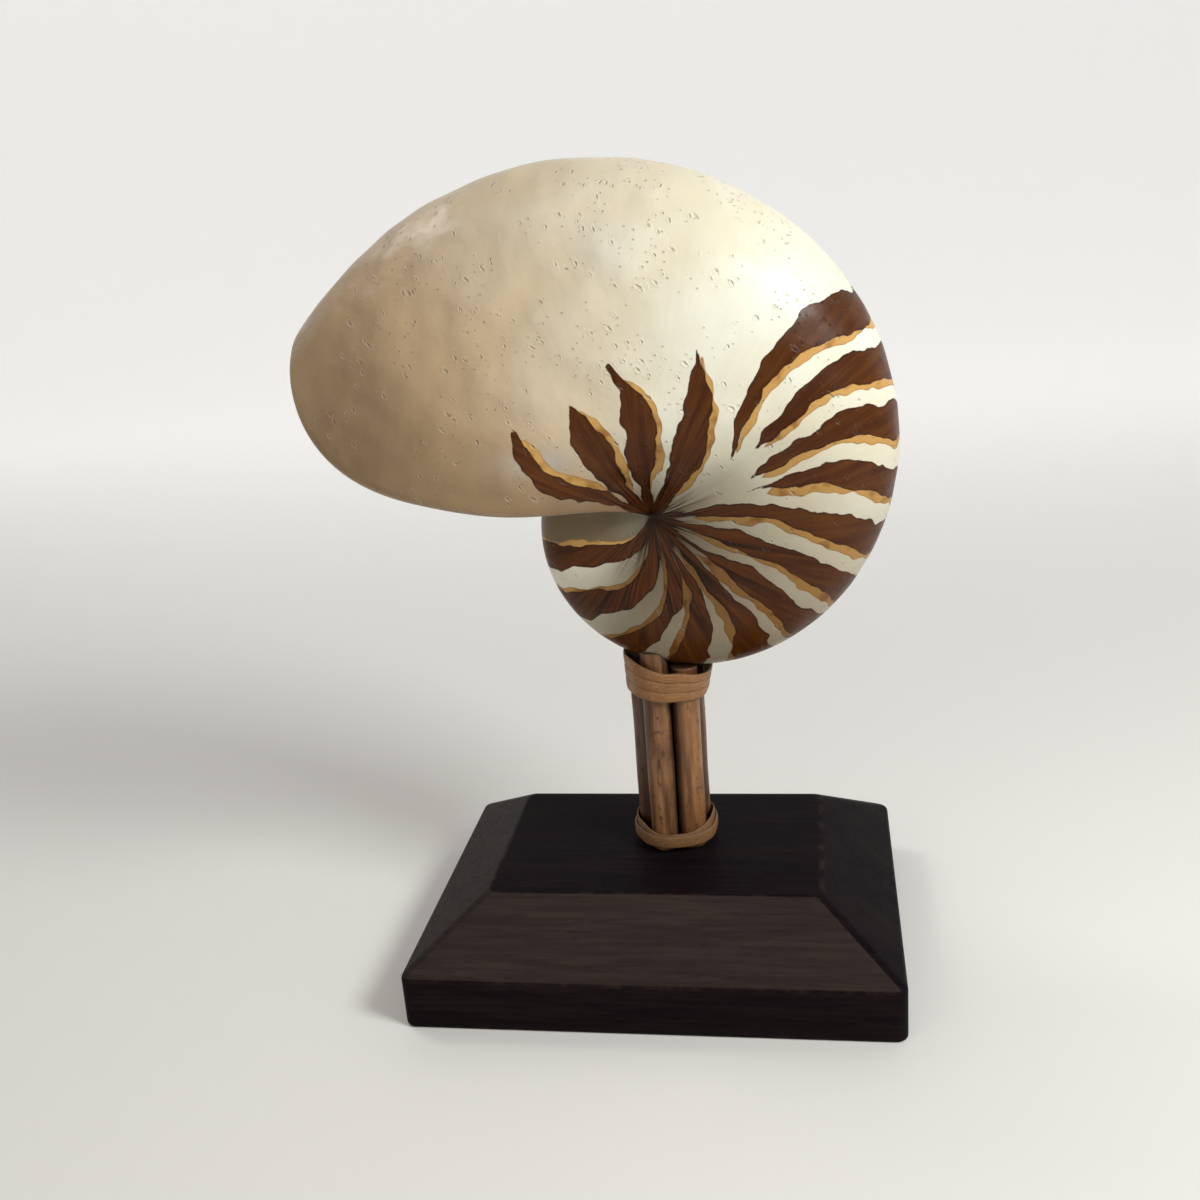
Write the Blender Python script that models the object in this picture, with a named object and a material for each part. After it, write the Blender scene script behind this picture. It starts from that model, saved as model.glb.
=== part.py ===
import bpy
import bmesh
import numpy as np
from math import asin, cos, degrees, pi, radians, sin

# A painted nautilus shell held by a tied bundle of five canes on a wooden base.
# Metres, +Z up. The origin is the centre of the base's underside. The shell's
# spiral lies in the XZ plane and its mouth opens downward on the -X side.

clearance = 0.0003

# Base: an upright edge, then four slopes up to a flat top
base_width = 0.180
base_depth = 0.137
base_edge_height = 0.0204
base_slope_height = 0.0194
base_slope_run = 0.0282
base_rounding = 0.0012
base_top = base_edge_height + base_slope_height

# Post: a ring of canes that touch their neighbours
post_x = 0.0055
post_y = 0.005
cane_count = 5
cane_radius = 0.0053
cane_sides = 20
cane_top_rings = 4
ring_radius = (cane_radius + clearance / 2) / sin(pi / cane_count)
first_cane_angle = radians(-113)
cut_heights = (0.1215, 0.1145, 0.1170, 0.1200, 0.1190)

# Shell: a spiral about its navel, with growth angles in degrees. Growth angle 0
# points to -X where the inner whorl leaves the mouth, 90 points down
navel_x = 0.0057
shell_y = post_y
navel_z = 0.1741
navel_half_width = 0.016
keel_start = 0.04367
keel_growth = 0.2083
slow_swell = 0.0286
slow_swell_angle = 67.6
fast_swell = 0.0134
fast_swell_angle = -18.8
bulge_share = 0.37
bulge_reach = 0.26
keel_roundness = 3.6
lip_angle = 346.0
lip_keel_notch = 16.0
lip_navel_notch = 28.0
wall = 0.004
wall_taper_reach = 0.35
mouth_back_angle = 268.0
back_hollow = 0.012

# Shell grid
steps_per_side = 14
outer_steps = 38
inner_steps = 8
back_steps = 4
floor_steps = 9

# Bindings: strips wound round the canes. Each height has a mean and a tilt,
# which is how much lower or higher it is on the +X side
strip_thickness = 0.0010
corner_steps = 5
upper_strands = 3
upper_low = (0.1028, -0.0011)
upper_rim = (0.1154, -0.0037)
upper_flare = (0.0013, 0.0008)
lower_outer_middle = (0.0448, 0.0002)
lower_inner_middle = (0.0466, 0.0002)
lower_inner_saddle = 0.0016
lower_strip_height = 0.0050
strip_roundness = 0.6


def keelRadius(angle):
    turn = np.radians(angle)
    slow = slow_swell * np.cos(turn - radians(slow_swell_angle))
    fast = fast_swell * np.cos(2 * (turn - radians(fast_swell_angle)))
    return keel_start * np.exp(keel_growth * turn - slow - fast)


def halfWidth(angle, share):
    # steep from the navel to the bulge of the flank, then round over the keel
    rise = (bulge_share * keelRadius(angle) - navel_half_width) * np.tanh(share / bulge_reach)
    return np.sqrt(np.clip(1 - share ** keel_roundness, 0, 1)) * (navel_half_width + rise)


def surfacePoint(angle, share, side):
    # share is 0 at the navel and 1 on the keel; side is -1 on the near flank
    direction = np.radians(180 + angle)
    radius = keelRadius(angle) * share
    x = navel_x + radius * np.cos(direction)
    y = shell_y + side * halfWidth(angle, share)
    z = navel_z + radius * np.sin(direction)
    return np.stack([x, y, z], axis=-1)


def surfaceNormal(angle, share, side):
    inside = np.clip(share, 0.02, 0.97)
    along = surfacePoint(angle + 0.5, inside, side) - surfacePoint(angle - 0.5, inside, side)
    across = surfacePoint(angle, inside + 0.02, side) - surfacePoint(angle, inside - 0.02, side)
    normal = np.cross(along, across) * side[:, None]
    normal[share > 0.97, 1] = 0
    return normal / np.linalg.norm(normal, axis=-1, keepdims=True)


def lipAngle(share):
    # the lip runs straight from the navel and is notched back toward the keel
    outer = np.clip((share - 0.5) / 0.5, 0, 1)
    inner = np.clip((0.5 - share) / 0.5, 0, 1)
    return lip_angle - lip_keel_notch * outer ** 2.1 - lip_navel_notch * inner ** 3.5


def shellArcs():
    # every arc runs from one navel over the keel to the other navel
    steps = np.arange(-steps_per_side, steps_per_side + 1)
    share = np.cos(steps / steps_per_side * pi / 2)
    share[[0, -1]] = 0
    side = np.where(steps < 0, -1.0, 1.0)
    lip = lipAngle(share)
    taper = np.clip(share / wall_taper_reach, 0, 1)
    thickness = (wall * taper * taper * (3 - 2 * taper))[:, None]

    def innerWall(angle):
        return surfacePoint(angle, share, side) - surfaceNormal(angle, share, side) * thickness

    arcs = [surfacePoint(lip * step / outer_steps, share, side) for step in range(outer_steps + 1)]
    edge_normal = surfaceNormal(lip, share, side)
    forward = np.stack([np.sin(np.radians(lip)), 0 * lip, -np.cos(np.radians(lip))], axis=-1)
    middle = arcs[-1] - edge_normal * thickness / 2
    for turn in (radians(50), radians(130)):
        arcs.append(middle + (edge_normal * cos(turn) + forward * sin(turn)) * thickness / 2)
    for step in range(inner_steps + 1):
        arcs.append(innerWall(lip + (mouth_back_angle - lip) * step / inner_steps))
    wall_end = arcs[-1]
    floor_end = surfacePoint(mouth_back_angle - 360 + 0 * share, share, side)
    away = np.radians(mouth_back_angle)
    backward = np.array([-np.sin(away), 0, np.cos(away)])
    for step in range(1, back_steps):
        part = step / back_steps
        hollow = back_hollow * sin(pi * part) * (share * (2 - share))[:, None]
        arcs.append(wall_end * (1 - part) + floor_end * part + backward * hollow)
    for step in range(floor_steps):
        angle = (mouth_back_angle - 360) * (1 - step / floor_steps)
        arcs.append(surfacePoint(angle + 0 * share, share, side))
    return arcs


def undersideHeight(x, y):
    # height of the shell's surface above the point, near the bottom of the whorl
    reach = float(keelRadius(90.0))
    for _ in range(8):
        angle = 90 + degrees(asin((x - navel_x) / reach))
        across = abs(y - shell_y) / (bulge_share * float(keelRadius(angle)))
        share = (1 - across ** 2) ** (1 / keel_roundness)
        reach = float(keelRadius(angle)) * share
    return navel_z - (reach ** 2 - (x - navel_x) ** 2) ** 0.5


def caneTop(index, x, y):
    # each cane is sawn level, and hollowed where the shell would touch it
    return min(cut_heights[index], undersideHeight(x, y) - clearance * 1.5)


def material(name, colour, roughness, metallic=0.0):
    made = bpy.data.materials.new(name)
    made.use_nodes = True
    shader = made.node_tree.nodes["Principled BSDF"]
    shader.inputs["Base Color"].default_value = (*colour, 1)
    shader.inputs["Roughness"].default_value = roughness
    shader.inputs["Metallic"].default_value = metallic
    made.diffuse_color = (*colour, 1)
    return made


def addObject(name, bm, surface, sharp_angle):
    bmesh.ops.recalc_face_normals(bm, faces=bm.faces)
    mesh = bpy.data.meshes.new(name)
    bm.to_mesh(mesh)
    bm.free()
    mesh.materials.append(surface)
    mesh.shade_smooth()
    mesh.set_sharp_from_angle(angle=radians(sharp_angle))
    made = bpy.data.objects.new(name, mesh)
    bpy.context.collection.objects.link(made)
    return made


def bridgeRows(bm, rows, closed_rows):
    # quads between each row of vertices and the next, the last row joining the first
    for index, row in enumerate(rows):
        following = rows[(index + 1) % len(rows)]
        count = len(row)
        for step in range(count if closed_rows else count - 1):
            ahead = (step + 1) % count
            corners = (row[step], row[ahead], following[ahead], following[step])
            bm.faces.new(list(dict.fromkeys(corners)))


def buildShell(surface):
    bm = bmesh.new()
    arcs = shellArcs()
    near_navel = bm.verts.new(arcs[0][0])
    far_navel = bm.verts.new(arcs[0][-1])
    rows = []
    for arc in arcs:
        between = [bm.verts.new(point) for point in arc[1:-1]]
        rows.append([near_navel, *between, far_navel])
    bridgeRows(bm, rows, False)
    return addObject("shell", bm, surface, 50)


def canePlace(index):
    angle = first_cane_angle + index * 2 * pi / cane_count
    return post_x + ring_radius * cos(angle), post_y + ring_radius * sin(angle)


def buildCane(index, surface):
    # a round rod from the base up to its cut top
    bm = bmesh.new()
    centre_x, centre_y = canePlace(index)
    bottom = base_top + clearance
    turns = [2 * pi * step / cane_sides for step in range(cane_sides)]
    circle = [(cane_radius * cos(turn), cane_radius * sin(turn)) for turn in turns]
    foot = [bm.verts.new((x, y, bottom)) for x, y in circle]
    bm.faces.new(foot)
    rows = [foot]
    for ring in range(cane_top_rings, 0, -1):
        part = ring / cane_top_rings
        row = []
        for x, y in circle:
            height = caneTop(index, centre_x + x * part, centre_y + y * part)
            row.append(bm.verts.new((x * part, y * part, height)))
        rows.append(row)
    for row, following in zip(rows, rows[1:]):
        for step in range(cane_sides):
            ahead = (step + 1) % cane_sides
            bm.faces.new((row[step], row[ahead], following[ahead], following[step]))
    tip = bm.verts.new((0, 0, caneTop(index, centre_x, centre_y)))
    for step in range(cane_sides):
        bm.faces.new((rows[-1][step], rows[-1][(step + 1) % cane_sides], tip))
    cane = addObject("cane_" + str(index + 1), bm, surface, 40)
    cane.location = (centre_x, centre_y, 0)
    return cane


def bundleOutline():
    # points round the canes with the direction that each faces: partly the tight
    # loop that a strip in tension makes, partly the circle that its stiffness wants
    outline = []
    circle = ring_radius + cane_radius
    for index in range(cane_count):
        centre_x, centre_y = canePlace(index)
        facing = first_cane_angle + index * 2 * pi / cane_count
        for step in range(corner_steps + 1):
            turn = facing + (step / corner_steps - 0.5) * 2 * pi / cane_count
            tight_x = centre_x + cane_radius * cos(turn)
            tight_y = centre_y + cane_radius * sin(turn)
            round_x = post_x + circle * cos(turn)
            round_y = post_y + circle * sin(turn)
            x = tight_x + (round_x - tight_x) * strip_roundness
            y = tight_y + (round_y - tight_y) * strip_roundness
            outline.append(((x, y), turn))
    return outline


def buildBinding(name, section, surface):
    bm = bmesh.new()
    rows = []
    for place, turn in bundleOutline():
        row = []
        for reach, height in section(place, turn):
            x = place[0] + cos(turn) * reach
            y = place[1] + sin(turn) * reach
            row.append(bm.verts.new((x, y, height)))
        rows.append(row)
    bridgeRows(bm, rows, True)
    return addObject(name, bm, surface, 35)


def tilted(mean_and_tilt, turn):
    mean, tilt = mean_and_tilt
    return mean + tilt * cos(turn)


def upperSection(place, turn):
    # each strand lies further out than the one below it, so the rim stands off the
    # canes; it rises to the shell's underside on both sides
    low = tilted(upper_low, turn)
    rim = min(tilted(upper_rim, turn), undersideHeight(*place) - clearance * 2)
    flare = tilted(upper_flare, turn) / upper_strands
    height = (rim - low) / upper_strands
    outer = []
    inner = []
    for strand in range(upper_strands):
        bottom = low + strand * height
        lean = clearance + strand * flare
        inner.append((lean, bottom))
        outer.append((lean + strip_thickness * 0.6, bottom + height * 0.04))
        outer.append((lean + strip_thickness, bottom + height * 0.3))
        outer.append((lean + strip_thickness, bottom + height * 0.75))
    lean = clearance + upper_strands * flare
    inner.append((lean, rim))
    outer.append((lean + strip_thickness * 0.5, rim))
    return outer + inner[::-1]


def lowerSection(place, turn):
    # a level strip outside one that rises to both sides
    outer_low = tilted(lower_outer_middle, turn) - lower_strip_height / 2
    outer_high = outer_low + lower_strip_height
    saddle = lower_inner_saddle * cos(2 * turn)
    inner_high = tilted(lower_inner_middle, turn) + saddle + lower_strip_height / 2
    inner_high = max(inner_high, outer_high + clearance)
    between = clearance + strip_thickness * 0.8
    return [
        (clearance + strip_thickness, outer_low),
        (between + strip_thickness, outer_low + lower_strip_height * 0.25),
        (between + strip_thickness, outer_low + lower_strip_height * 0.75),
        (between + strip_thickness * 0.5, outer_high),
        (between, outer_high + clearance / 2),
        (clearance + strip_thickness * 0.5, inner_high),
        (clearance, inner_high),
        (clearance, outer_low),
    ]


def buildBase(surface):
    bm = bmesh.new()
    bmesh.ops.create_cube(bm, size=1)
    for vert in bm.verts:
        vert.co.x *= base_width
        vert.co.y *= base_depth
        vert.co.z = base_edge_height * (vert.co.z + 0.5)
    top = max(bm.faces, key=lambda face: face.calc_center_median().z)
    raised = bmesh.ops.extrude_face_region(bm, geom=[top])
    bmesh.ops.delete(bm, geom=[top], context="FACES")
    for vert in raised["geom"]:
        if isinstance(vert, bmesh.types.BMVert):
            vert.co.x -= base_slope_run if vert.co.x > 0 else -base_slope_run
            vert.co.y -= base_slope_run if vert.co.y > 0 else -base_slope_run
            vert.co.z = base_top
    made = addObject("base", bm, surface, 30)
    rounding = made.modifiers.new("Rounded edges", "BEVEL")
    rounding.width = base_rounding
    rounding.segments = 2
    rounding.limit_method = "ANGLE"
    rounding.angle_limit = radians(25)
    return made


def main():
    for old in list(bpy.data.objects):
        bpy.data.objects.remove(old)
    shell_paint = material("shell paint", (0.80, 0.76, 0.64), 0.35)
    cane_skin = material("cane", (0.42, 0.27, 0.14), 0.5)
    strip_skin = material("cane strip", (0.52, 0.34, 0.17), 0.55)
    dark_wood = material("dark stained wood", (0.025, 0.019, 0.018), 0.38)
    buildBase(dark_wood)
    for index in range(cane_count):
        buildCane(index, cane_skin)
    buildBinding("lower_binding", lowerSection, strip_skin)
    buildBinding("upper_binding", upperSection, strip_skin)
    buildShell(shell_paint)


main()
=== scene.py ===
import bpy
import numpy as np
from math import cos, pi, radians, sin
from mathutils import Matrix, Vector


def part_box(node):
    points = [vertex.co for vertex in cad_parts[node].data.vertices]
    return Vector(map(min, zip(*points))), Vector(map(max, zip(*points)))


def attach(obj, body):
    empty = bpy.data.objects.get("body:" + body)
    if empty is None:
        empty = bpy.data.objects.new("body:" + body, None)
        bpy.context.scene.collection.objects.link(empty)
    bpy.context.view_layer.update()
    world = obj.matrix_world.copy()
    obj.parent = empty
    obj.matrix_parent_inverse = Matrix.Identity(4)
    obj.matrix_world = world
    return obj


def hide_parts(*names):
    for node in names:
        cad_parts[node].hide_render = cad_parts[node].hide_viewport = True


# A painted nautilus shell on a tied bundle of canes over a dark wooden base.
# Metres, +Z up, in the frame of the solids: the shell's mouth is on the -X side.

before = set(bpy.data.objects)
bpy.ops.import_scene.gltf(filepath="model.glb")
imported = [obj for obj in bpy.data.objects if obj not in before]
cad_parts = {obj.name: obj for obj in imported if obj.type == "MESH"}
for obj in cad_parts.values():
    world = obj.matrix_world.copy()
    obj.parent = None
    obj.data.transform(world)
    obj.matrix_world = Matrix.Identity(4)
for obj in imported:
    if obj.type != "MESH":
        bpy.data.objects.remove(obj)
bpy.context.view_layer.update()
print("frame loaded")


# ---- shared mesh and node helpers

def wrapGrid(rows, columns, closedRows, closedColumns):
    # quads over a grid of rows by columns, as one array of corner numbers
    row = np.arange(rows if closedRows else rows - 1)[:, None]
    column = np.arange(columns if closedColumns else columns - 1)[None, :]
    nextRow = (row + 1) % rows
    nextColumn = (column + 1) % columns
    corners = [row * columns + column, row * columns + nextColumn,
               nextRow * columns + nextColumn, nextRow * columns + column]
    return np.stack(corners, axis=-1).reshape(-1, 4)


def meshPiece(name, points, faces, surface, layers=None):
    # a finished mesh at the origin; layers are named values, one for each point
    mesh = bpy.data.meshes.new(name)
    mesh.from_pydata(points.tolist(), [], faces)
    for layerName, values in (layers or {}).items():
        layer = mesh.attributes.new(layerName, "FLOAT", "POINT")
        layer.data.foreach_set("value", np.asarray(values, dtype=np.float32).ravel())
    mesh.materials.append(surface)
    mesh.shade_smooth()
    mesh.validate()
    piece = bpy.data.objects.new(name, mesh)
    bpy.context.collection.objects.link(piece)
    return piece


def tubeFaces(rows, columns, foot, top):
    # quads round a tube, and a fan at each end to the points numbered foot and top
    column = np.arange(columns)
    following = (column + 1) % columns
    last = (rows - 1) * columns
    footFan = np.stack([following, column, np.full(columns, foot)], axis=1)
    topFan = np.stack([last + column, last + following, np.full(columns, top)], axis=1)
    return wrapGrid(rows, columns, False, True).tolist() + footFan.tolist() + topFan.tolist()


def smoothStep(low, high, value):
    # 3 part^2 - 2 part^3, where part runs from 0 at low to 1 at high
    part = np.clip((value - low) / (high - low), 0, 1)
    return part * part * (3 - 2 * part)


class Surface:
    # a material and short calls for the nodes that it is built from
    def __init__(self, name, roughness, coat=0.0, coatRoughness=0.2, specular=0.5):
        self.material = bpy.data.materials.new(name)
        self.material.use_nodes = True
        self.nodes = self.material.node_tree.nodes
        self.links = self.material.node_tree.links
        self.shader = self.nodes["Principled BSDF"]
        self.shader.inputs["Roughness"].default_value = roughness
        self.shader.inputs["Coat Weight"].default_value = coat
        self.shader.inputs["Coat Roughness"].default_value = coatRoughness
        self.shader.inputs["Specular IOR Level"].default_value = specular

    def feed(self, socket, value):
        if isinstance(value, bpy.types.NodeSocket):
            self.links.new(value, socket)
        elif isinstance(value, tuple):
            # a colour, which the socket takes with its alpha
            socket.default_value = (*value, 1)
        else:
            socket.default_value = value

    def layer(self, name):
        node = self.nodes.new("ShaderNodeAttribute")
        node.attribute_name = name
        return node.outputs["Fac"]

    def place(self, scale=(1, 1, 1), turn=(0, 0, 0), source=None):
        # object coordinates, turned first and then stretched
        if source is None:
            source = self.nodes.new("ShaderNodeTexCoord").outputs["Object"]
        turned = self.nodes.new("ShaderNodeMapping")
        turned.inputs["Rotation"].default_value = [radians(angle) for angle in turn]
        self.feed(turned.inputs["Vector"], source)
        stretched = self.nodes.new("ShaderNodeMapping")
        stretched.inputs["Scale"].default_value = scale
        self.feed(stretched.inputs["Vector"], turned.outputs["Vector"])
        return stretched.outputs["Vector"]

    def combine(self, x, y, z):
        node = self.nodes.new("ShaderNodeCombineXYZ")
        for socket, value in zip(node.inputs, (x, y, z)):
            self.feed(socket, value)
        return node.outputs["Vector"]

    def noise(self, vector, scale, detail=3.0, rough=0.5, warp=0.0):
        node = self.nodes.new("ShaderNodeTexNoise")
        self.feed(node.inputs["Vector"], vector)
        node.inputs["Scale"].default_value = scale
        node.inputs["Detail"].default_value = detail
        node.inputs["Roughness"].default_value = rough
        node.inputs["Distortion"].default_value = warp
        return node.outputs["Fac"]

    def cells(self, vector, scale):
        # flat cells: distance to the nearest seed, and two chances of that seed
        node = self.nodes.new("ShaderNodeTexVoronoi")
        node.voronoi_dimensions = "2D"
        self.feed(node.inputs["Vector"], vector)
        node.inputs["Scale"].default_value = scale
        split = self.nodes.new("ShaderNodeSeparateColor")
        self.feed(split.inputs[0], node.outputs["Color"])
        return node.outputs["Distance"], split.outputs[0], split.outputs[1]

    def math(self, kind, first, second=0.0):
        node = self.nodes.new("ShaderNodeMath")
        node.operation = kind
        self.feed(node.inputs[0], first)
        self.feed(node.inputs[1], second)
        return node.outputs[0]

    def plus(self, first, second):
        return self.math("ADD", first, second)

    def minus(self, first, second):
        return self.math("SUBTRACT", first, second)

    def times(self, first, second):
        return self.math("MULTIPLY", first, second)

    def waver(self, vector, scale, detail, size):
        # size * (noise - a half), which wanders about zero
        return self.times(self.minus(self.noise(vector, scale, detail), 0.5), size)

    def span(self, value, low, high, toLow=0.0, toHigh=1.0):
        # smooth step: toLow where the value is low, toHigh where it is high
        node = self.nodes.new("ShaderNodeMapRange")
        node.interpolation_type = "SMOOTHSTEP"
        self.feed(node.inputs["Value"], value)
        node.inputs["From Min"].default_value = low
        node.inputs["From Max"].default_value = high
        node.inputs["To Min"].default_value = toLow
        node.inputs["To Max"].default_value = toHigh
        return node.outputs[0]

    def mix(self, amount, first, second, kind="MIX"):
        node = self.nodes.new("ShaderNodeMix")
        node.data_type = "RGBA"
        node.blend_type = kind
        self.feed(node.inputs["Factor"], amount)
        self.feed(node.inputs[6], first)
        self.feed(node.inputs[7], second)
        return node.outputs[2]

    def relief(self, height):
        # height in metres, so strength and distance are both one
        node = self.nodes.new("ShaderNodeBump")
        node.inputs["Strength"].default_value = 1.0
        node.inputs["Distance"].default_value = 1.0
        self.feed(node.inputs["Height"], height)
        self.links.new(node.outputs["Normal"], self.shader.inputs["Normal"])

    def colour(self, value):
        self.feed(self.shader.inputs["Base Color"], value)

    def gloss(self, value):
        self.feed(self.shader.inputs["Roughness"], value)


# ---- camera, lights and floor

cameraValues = {
    "lens": 38.89,
    "place": (0.0639, -0.4510, 0.2912),
    "turnLeft": 10.20,
    "lookDown": 18.23,
    "roll": -4.62,
}
lightValues = {
    # place, aimed at, width, power in watts, colour
    "key": ((0.60, -0.34, 0.64), (0.03, 0.0, 0.23), 0.26, 6.2, (0.985, 1.0, 0.965)),
    "fill": ((-0.45, -0.85, 0.50), (0.0, 0.0, 0.15), 0.80, 1.6, (1.0, 0.92, 0.83)),
    "back": ((-0.66, 0.32, 0.95), (-0.04, 0.0, 0.24), 0.24, 1.8, (1.0, 0.98, 0.95)),
    "skyColour": (1.0, 0.98, 0.96),
    "skyStrength": 0.20,
}
floorValues = {
    "middle": 0.02,
    "radius": 1.5,
    "bend": 0.9,
    "wall": 2.0,
    "rings": 24,
    "sides": 96,
    "colour": (0.78, 0.77, 0.75),
    "roughness": 0.7,
    "glow": 0.42,
    "glowReach": (0.05, 1.2),
}


def makeCamera():
    # turned left about Z, looking down, and rolled about its own line of sight
    view = bpy.data.cameras.new("camera")
    view.lens = cameraValues["lens"]
    view.sensor_width = 36
    camera = bpy.data.objects.new("camera", view)
    turn = Matrix.Rotation(radians(cameraValues["turnLeft"]), 4, "Z")
    tilt = Matrix.Rotation(radians(90 - cameraValues["lookDown"]), 4, "X")
    roll = Matrix.Rotation(radians(cameraValues["roll"]), 4, "Z")
    camera.matrix_world = Matrix.Translation(cameraValues["place"]) @ turn @ tilt @ roll
    bpy.context.collection.objects.link(camera)
    bpy.context.scene.camera = camera


def makeLight(name):
    place, target, width, power, colour = lightValues[name]
    lamp = bpy.data.lights.new(name + " light", "AREA")
    lamp.size = width
    lamp.energy = power
    lamp.color = colour
    light = bpy.data.objects.new(name + " light", lamp)
    light.location = place
    light.rotation_euler = (Vector(target) - Vector(place)).to_track_quat("-Z", "Y").to_euler()
    bpy.context.collection.objects.link(light)


def makeSky():
    sky = bpy.data.worlds.new("studio")
    sky.use_nodes = True
    glow = sky.node_tree.nodes["Background"]
    glow.inputs["Color"].default_value = (*lightValues["skyColour"], 1)
    glow.inputs["Strength"].default_value = lightValues["skyStrength"]
    bpy.context.scene.world = sky
    bpy.context.scene.view_settings.view_transform = "Standard"


def makeFloor():
    # a flat disc that bends up into a round wall: a line, a quarter circle and a line,
    # as radius and height, turned about Z
    values = floorValues
    turn = np.linspace(0, pi / 2, values["rings"])
    flat = np.linspace(values["middle"], values["radius"], values["rings"], endpoint=False)
    radius = np.concatenate([flat, values["radius"] + values["bend"] * np.sin(turn)])
    height = np.concatenate([0 * flat, values["bend"] * (1 - np.cos(turn))])
    radius = np.append(radius, radius[-1])[:, None]
    height = np.append(height, height[-1] + values["wall"])[:, None]
    around = np.linspace(0, 2 * pi, values["sides"], endpoint=False)[None, :]
    points = np.stack([radius * np.cos(around), radius * np.sin(around), height + 0 * around],
                      axis=-1)
    rows, columns = points.shape[:2]
    faces = wrapGrid(rows, columns, False, True)[:, ::-1].tolist() + [tuple(range(columns))]
    surface = Surface("pale floor", values["roughness"])
    surface.colour(values["colour"])
    # the far side glows, as the wall of a lit studio does
    glow = smoothStep(*values["glowReach"], points[..., 1])
    strength = surface.times(surface.layer("glow"), values["glow"])
    surface.feed(surface.shader.inputs["Emission Strength"], strength)
    surface.material.cycles.emission_sampling = "NONE"
    floor = meshPiece("floor", points.reshape(-1, 3), faces, surface.material, {"glow": glow})


makeCamera()
for lightName in ("key", "fill", "back"):
    makeLight(lightName)
makeSky()
makeFloor()
print("camera, lights and floor")


# ---- the shell's form

shellValues = {
    "navel": (0.0057, 0.005, 0.1741),
    "navelHalfWidth": 0.016,
    "keelStart": 0.04363,
    "keelGrowth": 0.2083,
    "slowSwell": (0.0286, 67.6),
    "fastSwell": (0.0134, -18.8),
    "bulgeShare": 0.37,
    "bulgeReach": 0.26,
    "keelRoundness": 3.6,
    "lipAngle": 346.0,
    "lipKeelNotch": 16.0,
    "lipNavelNotch": 28.0,
    "wall": 0.004,
    "wallTaperReach": 0.35,
    "backAngle": 268.0,
    "backHollow": 0.012,
    "stepsPerSide": 100,
    "outerSteps": 350,
    "wallSteps": 40,
    "backSteps": 16,
    "floorSteps": 44,
    "hammerDepth": 0.0007,
    "roundSteps": 8,
}


def keelRadius(angle):
    # a log spiral, slightly flattened: start * e^(growth * turn - two soft waves)
    turn = np.radians(angle)
    slow, slowAngle = shellValues["slowSwell"]
    fast, fastAngle = shellValues["fastSwell"]
    waves = slow * np.cos(turn - radians(slowAngle))
    waves = waves + fast * np.cos(2 * (turn - radians(fastAngle)))
    return shellValues["keelStart"] * np.exp(shellValues["keelGrowth"] * turn - waves)


def flankPoint(angle, share, side):
    # polar about the navel: the distance is the share of the keel's, and the half width
    # is (navel's + (bulge - navel's) * tanh(share / reach)) * root(1 - share^roundness)
    radius = keelRadius(angle)
    centre = shellValues["navel"]
    navelWidth = shellValues["navelHalfWidth"]
    rise = np.tanh(share / shellValues["bulgeReach"])
    rise = (shellValues["bulgeShare"] * radius - navelWidth) * rise
    fall = np.sqrt(np.clip(1 - share ** shellValues["keelRoundness"], 0, 1))
    direction = np.radians(180 + angle)
    x = centre[0] + radius * share * np.cos(direction)
    y = centre[1] + side * fall * (navelWidth + rise)
    z = centre[2] + radius * share * np.sin(direction)
    return np.stack([x, y, z], axis=-1)


def flankNormal(angle, share, side):
    # cross product of the two surface directions, found by small steps; flat at the keel
    step, turnStep, keel = 0.004, 0.3, 0.995
    inside = np.clip(share, step, keel)
    along = flankPoint(angle + turnStep, inside, side) - flankPoint(angle - turnStep, inside, side)
    across = flankPoint(angle, inside + step, side) - flankPoint(angle, inside - step, side)
    normal = np.cross(along, across) * side[..., None]
    normal[..., 1] = np.where(share > keel, 0, normal[..., 1])
    return normal / np.linalg.norm(normal, axis=-1, keepdims=True)


def lipAngle(share):
    # straight from the navel, notched back toward the keel and at the navel
    outer = np.clip((share - 0.5) / 0.5, 0, 1) ** 2.1
    inner = np.clip((0.5 - share) / 0.5, 0, 1) ** 3.5
    notches = shellValues["lipKeelNotch"] * outer + shellValues["lipNavelNotch"] * inner
    return shellValues["lipAngle"] - notches


def hammerMarks(points):
    # soft dents: a product of slow waves across the three axes, 0 to 1
    x, y, z = np.moveaxis(points, -1, 0)
    first = np.sin(x * 190 + 1.3 + 2 * np.sin(z * 90)) * np.sin(z * 230 + 2 * np.sin(y * 110 + 0.6))
    second = np.sin(x * 96 - z * 71 + 0.8) * np.sin(z * 118 + x * 37 + y * 60 + 2.1)
    return 0.5 + 0.25 * first + 0.25 * second


# ---- the painted stripes, in growth angle and share of the radius

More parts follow.
